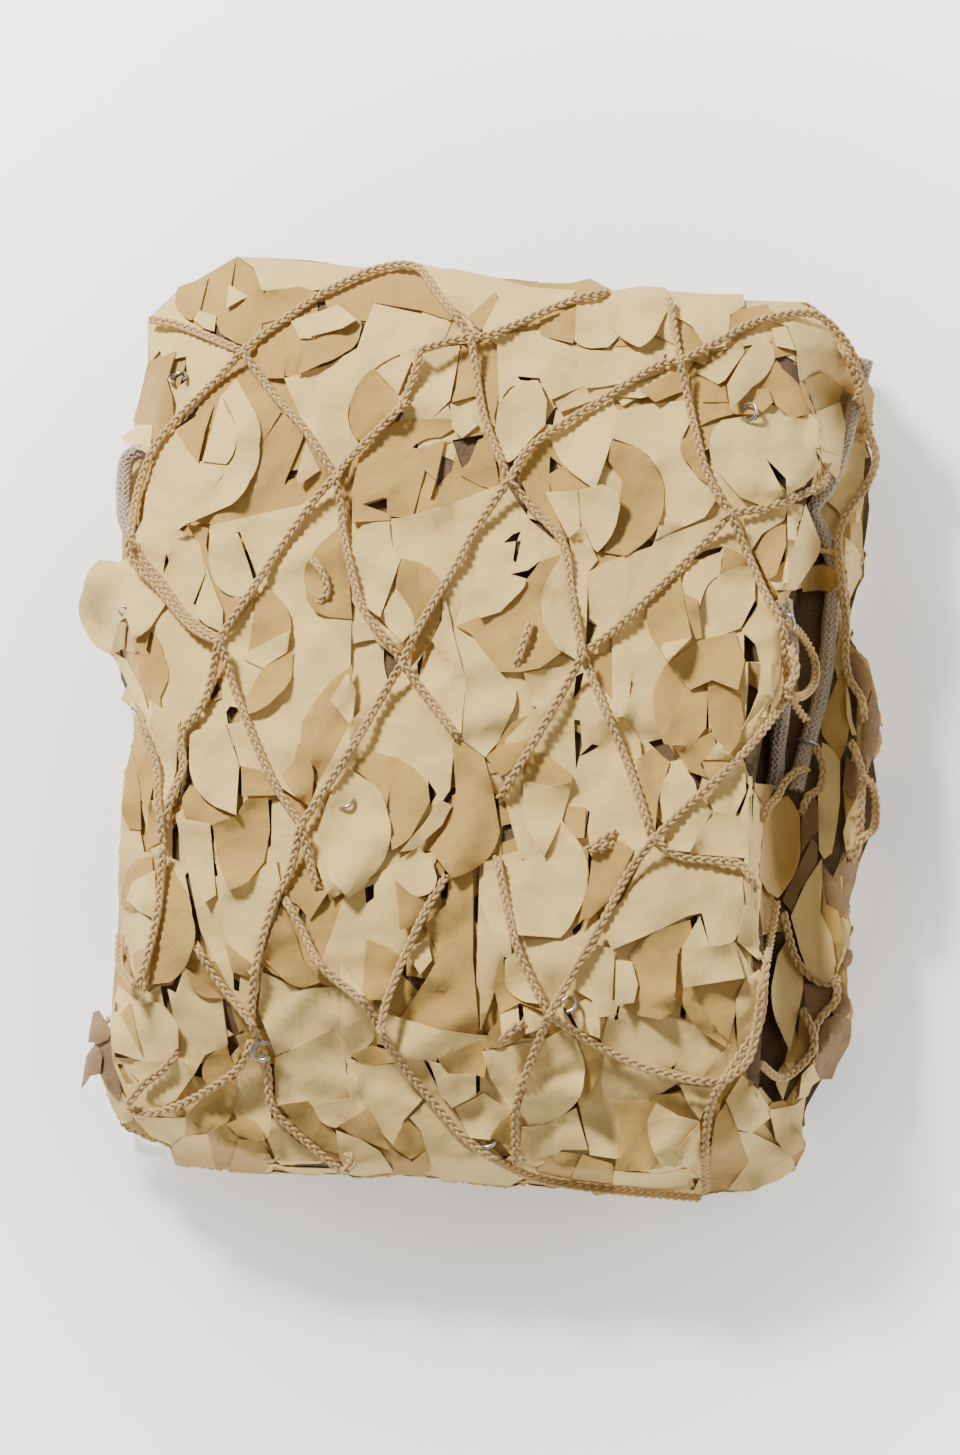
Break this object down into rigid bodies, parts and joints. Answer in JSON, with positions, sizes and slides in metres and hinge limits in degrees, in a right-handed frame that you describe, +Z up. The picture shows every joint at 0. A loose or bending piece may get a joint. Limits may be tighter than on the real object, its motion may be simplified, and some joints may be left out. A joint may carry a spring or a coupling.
{
  "type": "folded camouflage netting",
  "caption": "Sand and tan camouflage netting, folded into a flat pack: incised leaf cloth on a diamond cord mesh, with a braided border rope and wire clips.",
  "frame": {"origin": "under the middle of the pack, on the surface that it rests on", "axes": "+X across the pack towards the side with the rope channel, +Y along the pack, +Z up"},
  "size_m": [0.3829, 0.4575, 0.1193],
  "materials": {
    "garnish_cloth": "thin matt woven cloth, sand on one face and tan on the other",
    "net_cord": "knitted matt cord, pinkish beige",
    "border_rope": "braided matt rope, grey brown",
    "clip_wire": "bright round wire"
  },
  "bodies": {
    "root": {"folded_net": "garnish_cloth", "border_rope_right": "border_rope", "border_rope_inner": "border_rope", "border_rope_left": "border_rope", "clip_01": "clip_wire", "clip_02": "clip_wire", "clip_03": "clip_wire", "clip_04": "clip_wire", "clip_05": "clip_wire", "clip_06": "clip_wire", "clip_07": "clip_wire", "clip_08": "clip_wire", "clip_09": "clip_wire"}
  },
  "joints": []
}
